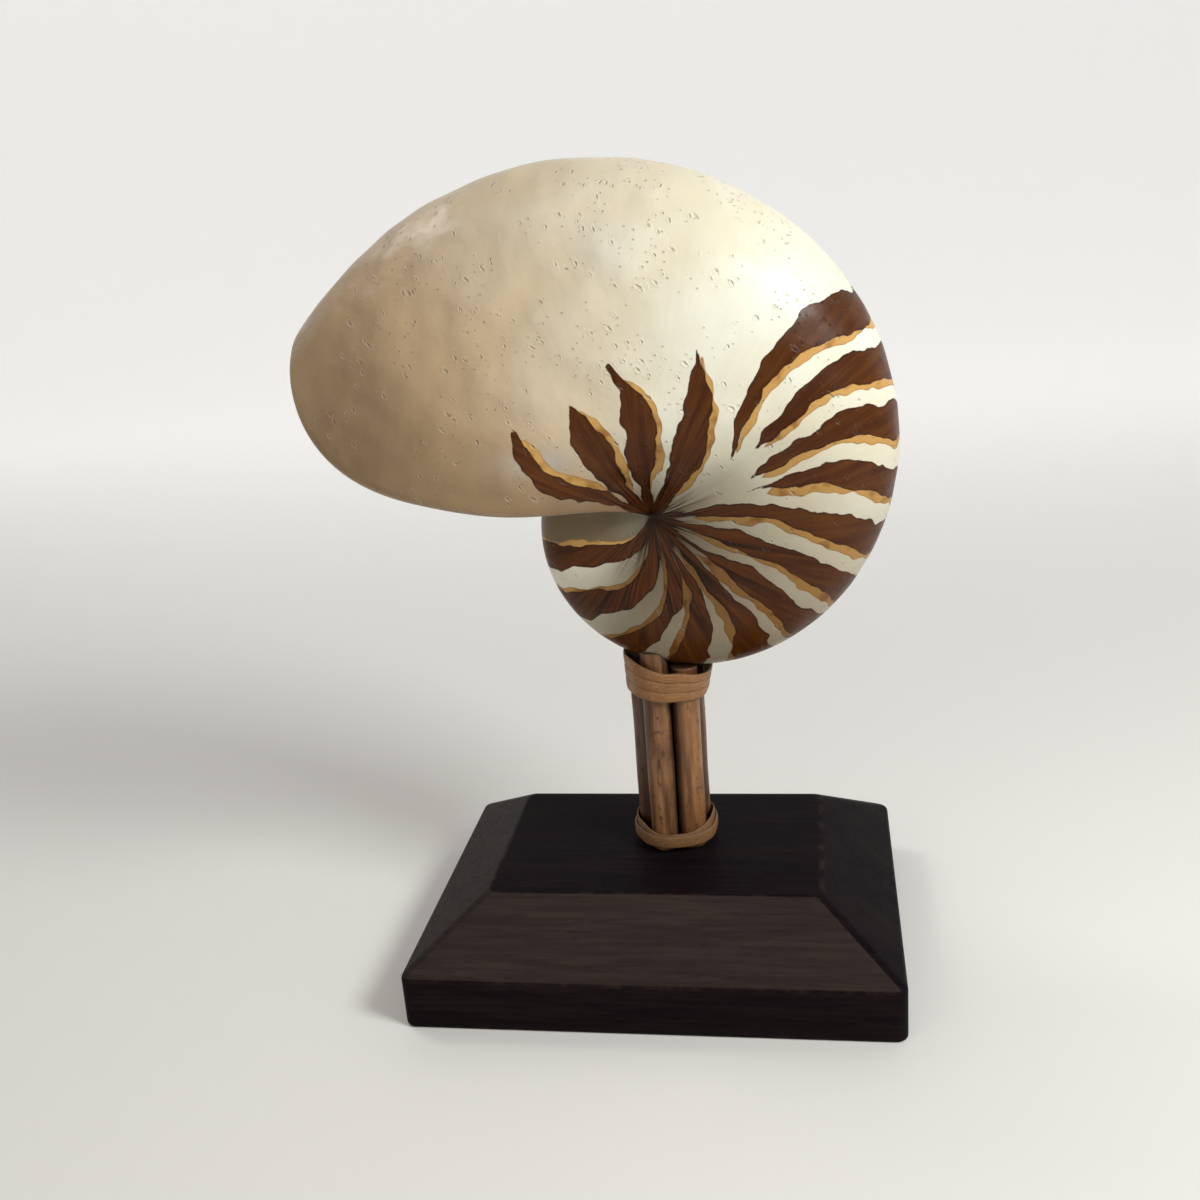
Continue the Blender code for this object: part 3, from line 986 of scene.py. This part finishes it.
def strandGrid(low, high, leanLow, leanHigh, thickness):
    # a flat strip with round edges carried round the path: low, high and the two leans
    # are arrays along it; the section is a squashed superellipse
    places, turns = bundleOutline()
    around = np.linspace(0, 2 * pi, bindingValues["sectionSteps"], endpoint=False)[None, :]
    up = np.sign(np.sin(around)) * np.abs(np.sin(around)) ** 0.7
    out = np.sign(np.cos(around)) * np.abs(np.cos(around)) ** 0.8
    height = (low + high)[:, None] / 2 + (high - low)[:, None] / 2 * up
    lean = leanLow[:, None] + (leanHigh - leanLow)[:, None] * (up + 1) / 2
    reach = lean + thickness * (out + 1) / 2
    x = places[:, :1] + np.cos(turns)[:, None] * reach
    y = places[:, 1:] + np.sin(turns)[:, None] * reach
    along = np.linspace(0, 1, len(turns))[:, None] + 0 * around
    across = up / 2 + 0 * along
    return np.stack([x, y, height], axis=-1), along, across


def makeStripMaterial(name, light, dark):
    # fibres run along the strip, which has its own along and across values
    surface = Surface(name, 0.5, coat=0.08, coatRoughness=0.35, specular=0.4)
    along = surface.times(surface.layer("along"), 9.0)
    across = surface.times(surface.layer("across"), 11.0)
    ribbon = surface.combine(along, across, surface.layer("strand"))
    fibres = surface.noise(ribbon, 2.4, 4, 0.6)
    fine = surface.noise(ribbon, 7.0, 3, 0.55)
    patches = surface.noise(surface.place(), 210, 3)
    tone = surface.mix(surface.span(fibres, 0.32, 0.68), dark, light)
    tone = surface.mix(surface.span(patches, 0.45, 0.75, 0.0, 0.45), tone, dark)
    tone = surface.mix(surface.span(fine, 0.3, 0.5, 0.35, 0.0), tone, dark)
    edges = surface.span(surface.math("ABSOLUTE", surface.layer("across")), 0.36, 0.5, 0.0, 0.55)
    surface.colour(surface.mix(edges, tone, bindingValues["edgeColour"]))
    surface.relief(surface.plus(surface.times(fibres, 0.00022), surface.times(fine, 0.00007)))
    surface.gloss(surface.span(patches, 0.3, 0.7, 0.42, 0.6))
    return surface.material


def makeBinding(name, node, strands, material):
    points = []
    faces = []
    layers = {"along": [], "across": [], "strand": []}
    for number, (grid, along, across) in enumerate(strands):
        rows, columns = grid.shape[:2]
        start = sum(len(part) for part in points)
        points.append(grid.reshape(-1, 3))
        faces += (wrapGrid(rows, columns, True, True)[:, ::-1] + start).tolist()
        # along runs up and down again, so the closed strip has no step in it
        layers["along"].append(1 - np.abs(along * 2 - 1).ravel())
        layers["across"].append(across.ravel())
        layers["strand"].append(np.full(across.size, number * 3.7))
    joined = {layerName: np.concatenate(parts) for layerName, parts in layers.items()}
    binding = meshPiece(name, np.concatenate(points), faces, material, joined)
    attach(binding, "root")
    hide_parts(node)


def upperStrands():
    # three turns, each a little farther out than the one below
    places, turns = bundleOutline()
    values = bindingValues
    low = values["upperLow"][0] + values["upperLow"][1] * np.cos(turns)
    rim = values["upperRim"][0] + values["upperRim"][1] * np.cos(turns)
    rim = np.minimum(rim, undersideHeight(places[:, 0], places[:, 1]) - values["underShell"])
    count = values["upperStrands"]
    flare = (values["upperFlare"][0] + values["upperFlare"][1] * np.cos(turns)) / count
    height = (rim - low) / count
    strands = []
    for strand in range(count):
        # only the middle strand's lower edge waves, and each lies under the next one
        wave = values["strandWave"] * np.sin(turns * 2 + strand * 2.1)
        bottom = low + strand * height + wave * (0 < strand < count - 1)
        top = low + (strand + 1) * height + values["strandOverlap"] * (strand < count - 1)
        lean = caneValues["gap"] + strand * flare
        strands.append(strandGrid(bottom, top, lean, lean + flare, values["thickness"]))
    return strands


def lowerStrands():
    # two turns: the inner one rises at the sides, where it shows over the outer one
    places, turns = bundleOutline()
    values = bindingValues
    gap = caneValues["gap"]
    half = values["lowerHeight"] / 2
    outerMiddle = values["lowerOuter"][0] + values["lowerOuter"][1] * np.cos(turns)
    innerMiddle = values["lowerInner"][0] + values["lowerInner"][1] * np.cos(turns)
    innerMiddle = innerMiddle + values["lowerSaddle"] * np.cos(2 * turns)
    lean = gap + 0 * turns
    inner = strandGrid(innerMiddle - half, innerMiddle + half, lean, lean,
                       values["thickness"] * 0.75)
    lean = lean + values["thickness"] * 0.8
    outer = strandGrid(outerMiddle - half, outerMiddle + half, lean, lean, values["thickness"])
    return [inner, outer]


makeBinding("upper_strips", "upper_binding", upperStrands(),
            makeStripMaterial("upper strip", *bindingValues["upperLook"]))
makeBinding("lower_strips", "lower_binding", lowerStrands(),
            makeStripMaterial("lower strip", *bindingValues["lowerLook"]))
print("bindings")


# ---- base

baseValues = {
    "width": 0.180,
    "depth": 0.137,
    "edgeHeight": 0.0204,
    "slopeHeight": 0.0194,
    "slopeRun": 0.0282,
    "cornerRadius": 0.0040,
    "arris": 0.0015,
    "arrisSteps": 7,
    "topMargin": 0.006,
    "capSteps": 8,
    "straightSteps": 40,
    "cornerSteps": 8,
    # dark grain, light grain
    "level": ((0.0042, 0.0027, 0.0038), (0.0100, 0.0064, 0.0080)),
    # a lighter tone of the same wood, as painted light on the slopes
    "sloping": ((0.0280, 0.0210, 0.0190), (0.0405, 0.0300, 0.0265)),
    "band": (0.016, 0.0115, 0.0100),
    "pore": (0.0040, 0.0030, 0.0032),
    # lighter arrises, partly wear and partly painted highlight
    "wornSheen": (0.045, 0.028, 0.020),
    # how much painted light each side's slope takes
    "frontLight": 1.0,
    "leftLight": 0.70,
    "backLight": 0.6,
    "rightLight": 0.0,
    "uprightLight": 0.10,
}


def roundedRectangle(width, depth, corner):
    # points round a rectangle with round corners, the same number for any size
    places = []
    quarter = np.linspace(0, pi / 2, baseValues["cornerSteps"] + 1)
    centres = ((1, 1), (-1, 1), (-1, -1), (1, -1))
    for index, (signX, signY) in enumerate(centres):
        turn = quarter + index * pi / 2
        x = signX * (width / 2 - corner) + corner * np.cos(turn)
        y = signY * (depth / 2 - corner) + corner * np.sin(turn)
        places.append(np.stack([x, y], axis=-1))
    loop = []
    for index, arc in enumerate(places):
        following = places[(index + 1) % 4]
        between = np.linspace(0, 1, baseValues["straightSteps"] + 1)[1:-1, None]
        loop.append(arc)
        loop.append(arc[-1] + (following[0] - arc[-1]) * between)
    return np.concatenate(loop)


def roundedProfile():
    # (inset, height) up the side: each sharp turn is a short arc between two lines
    values = baseValues
    top = values["edgeHeight"] + values["slopeHeight"]
    corners = [(values["topMargin"], 0), (0, 0), (0, values["edgeHeight"]),
               (values["slopeRun"], top), (values["slopeRun"] + values["topMargin"], top)]
    profile = [corners[0]]
    for before, corner, after in zip(corners, corners[1:], corners[2:]):
        before, corner, after = (np.array(place, dtype=float) for place in (before, corner, after))
        start = corner + (before - corner) / np.linalg.norm(before - corner) * values["arris"]
        end = corner + (after - corner) / np.linalg.norm(after - corner) * values["arris"]
        part = np.linspace(0, 1, values["arrisSteps"])[:, None]
        curve = start * (1 - part) ** 2 + corner * 2 * part * (1 - part) + end * part ** 2
        profile.extend(map(tuple, curve))
    profile.append(corners[-1])
    return profile


def makeBaseMaterial():
    values = baseValues
    surface = Surface("stained wood", 0.42, specular=0.015)
    plain = surface.place()
    along = surface.place(scale=(0.06, 1, 1))
    grain = surface.noise(along, 560, 5, 0.65, 0.3)
    pores = surface.noise(along, 2200, 3, 0.6)
    bands = surface.noise(surface.place(scale=(0.12, 1, 1)), 60, 3, 0.5, 0.8)
    grained = surface.span(grain, 0.35, 0.7)
    level = surface.mix(grained, *values["level"])
    sloping = surface.mix(grained, *values["sloping"])
    # painted light: the slopes take the lighter tone of the wood
    tone = surface.mix(surface.layer("slope"), level, sloping)
    tone = surface.mix(surface.span(bands, 0.4, 0.7, 0.0, 0.35), tone, values["band"])
    tone = surface.mix(surface.span(pores, 0.6, 0.7, 0.0, 0.5), tone, values["pore"])
    # lighter arrises: partly wear and partly painted highlight along the edges
    rubbedSheen = surface.span(surface.noise(plain, 160, 4, 0.6), 0.45, 0.65)
    rubbedSheen = surface.times(surface.layer("arris"), rubbedSheen)
    tone = surface.mix(surface.times(rubbedSheen, 0.35), tone, values["wornSheen"])
    surface.colour(tone)
    height = surface.plus(surface.times(grain, 0.00005), surface.times(pores, 0.00003))
    height = surface.plus(height, surface.times(surface.noise(plain, 45, 2), 0.00018))
    surface.relief(height)
    dust = surface.noise(plain, 900, 2)
    surface.gloss(surface.span(surface.plus(dust, grain), 0.7, 1.3, 0.34, 0.52))
    return surface.material


def makeBase():
    # the profile carried round the block: one loop for each point of it
    values = baseValues
    rows = []
    for inset, height in roundedProfile():
        loop = roundedRectangle(values["width"] - 2 * inset, values["depth"] - 2 * inset,
                                values["cornerRadius"])
        rows.append(np.column_stack([loop, np.full(len(loop), height)]))
    outer = np.array(rows)
    # the flat top and underside shrink to one point each
    shrink = np.linspace(1, 0, values["capSteps"] + 1)[1:-1, None, None]
    cap = outer[-1] * [1, 1, 0] * shrink + outer[-1] * [0, 0, 1]
    foot = outer[0] * [1, 1, 0] * shrink[::-1] + outer[0] * [0, 0, 1]
    grid = np.concatenate([foot, outer, cap])
    count, columns = grid.shape[:2]
    points = np.concatenate([grid.reshape(-1, 3), [[0, 0, 0], [0, 0, grid[-1, 0, 2]]]])
    faces = tubeFaces(count, columns, count * columns, count * columns + 1)

    # the first row of each arris, and the row in its middle
    steps = values["arrisSteps"]
    starts = len(foot) + 1 + steps * np.arange(3)
    footMiddle, edgeMiddle, topMiddle = starts + steps // 2
    onArris = np.zeros((count, columns))
    for start in starts:
        onArris[start + 1:start + steps - 1] = 1
    loop = outer[0, :, :2] / [values["width"], values["depth"]]
    sideways = np.abs(loop[:, 0]) > np.abs(loop[:, 1])
    leftOrRight = np.where(loop[:, 0] < 0, values["leftLight"], values["rightLight"])
    frontOrBack = np.where(loop[:, 1] < 0, values["frontLight"], values["backLight"])
    # painted light: a little on the upright edge, and on the slopes by side, most at the front and
    # none on the right
    onSlope = np.zeros((count, columns))
    onSlope[footMiddle:edgeMiddle + 1] = values["uprightLight"]
    onSlope[edgeMiddle + 1:topMiddle + 1] = np.where(sideways, leftOrRight, frontOrBack)
    layers = {"arris": np.append(onArris, [0, 0]), "slope": np.append(onSlope, [0, 0])}
    base = meshPiece("wooden_base", points, faces, makeBaseMaterial(), layers)
    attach(base, "root")
    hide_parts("base")


makeBase()
print("base")
